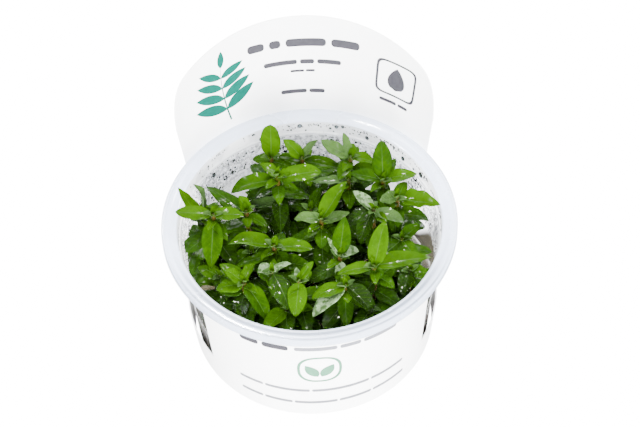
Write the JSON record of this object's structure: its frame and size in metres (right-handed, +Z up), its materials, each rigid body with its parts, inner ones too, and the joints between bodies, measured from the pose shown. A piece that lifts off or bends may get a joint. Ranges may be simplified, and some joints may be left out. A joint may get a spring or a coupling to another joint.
{
  "type": "potted aquarium plant",
  "caption": "Cup of small upright aquarium plants with glossy oval leaves on brown stems, standing on gel in a clear cup wrapped in a white die-cut card.",
  "frame": {"origin": "middle of the cup's underside, on the table", "axes": "+Z up; -Y towards the card's front panel; +Y towards the tall header at the back; +X to the right seen from the front"},
  "size_m": [0.1, 0.1077, 0.0936],
  "materials": {
    "clear_plastic": "clear thin-walled plastic, slightly cloudy at the flange",
    "agar_gel": "cloudy translucent gel",
    "white_card": "smooth coated white card with plain grey and green print",
    "stem": "red-brown plant stem, a little glossy",
    "leaf": "fresh green leaf, wet and glossy"
  },
  "bodies": {
    "root": {"clear_cup": "clear_plastic", "nutrient_gel": "agar_gel", "card_sleeve": "white_card", "stem_01": "stem", "leaf_crown_01": "leaf", "stem_02": "stem", "leaf_crown_02": "leaf", "stem_03": "stem", "leaf_crown_03": "leaf", "stem_04": "stem", "leaf_crown_04": "leaf", "stem_05": "stem", "leaf_crown_05": "leaf", "stem_06": "stem", "leaf_crown_06": "leaf", "stem_07": "stem", "leaf_crown_07": "leaf", "stem_08": "stem", "leaf_crown_08": "leaf", "stem_09": "stem", "leaf_crown_09": "leaf", "stem_10": "stem", "leaf_crown_10": "leaf", "stem_11": "stem", "leaf_crown_11": "leaf", "stem_12": "stem", "leaf_crown_12": "leaf", "stem_13": "stem", "leaf_crown_13": "leaf", "stem_14": "stem", "leaf_crown_14": "leaf", "stem_15": "stem", "leaf_crown_15": "leaf", "stem_16": "stem", "leaf_crown_16": "leaf", "stem_17": "stem", "leaf_crown_17": "leaf", "stem_18": "stem", "leaf_crown_18": "leaf", "stem_19": "stem", "leaf_crown_19": "leaf", "stem_20": "stem", "leaf_crown_20": "leaf", "stem_21": "stem", "leaf_crown_21": "leaf", "stem_22": "stem", "leaf_crown_22": "leaf", "stem_23": "stem", "leaf_crown_23": "leaf", "stem_24": "stem", "leaf_crown_24": "leaf", "stem_25": "stem", "leaf_crown_25": "leaf", "stem_26": "stem", "leaf_crown_26": "leaf"}
  },
  "joints": []
}
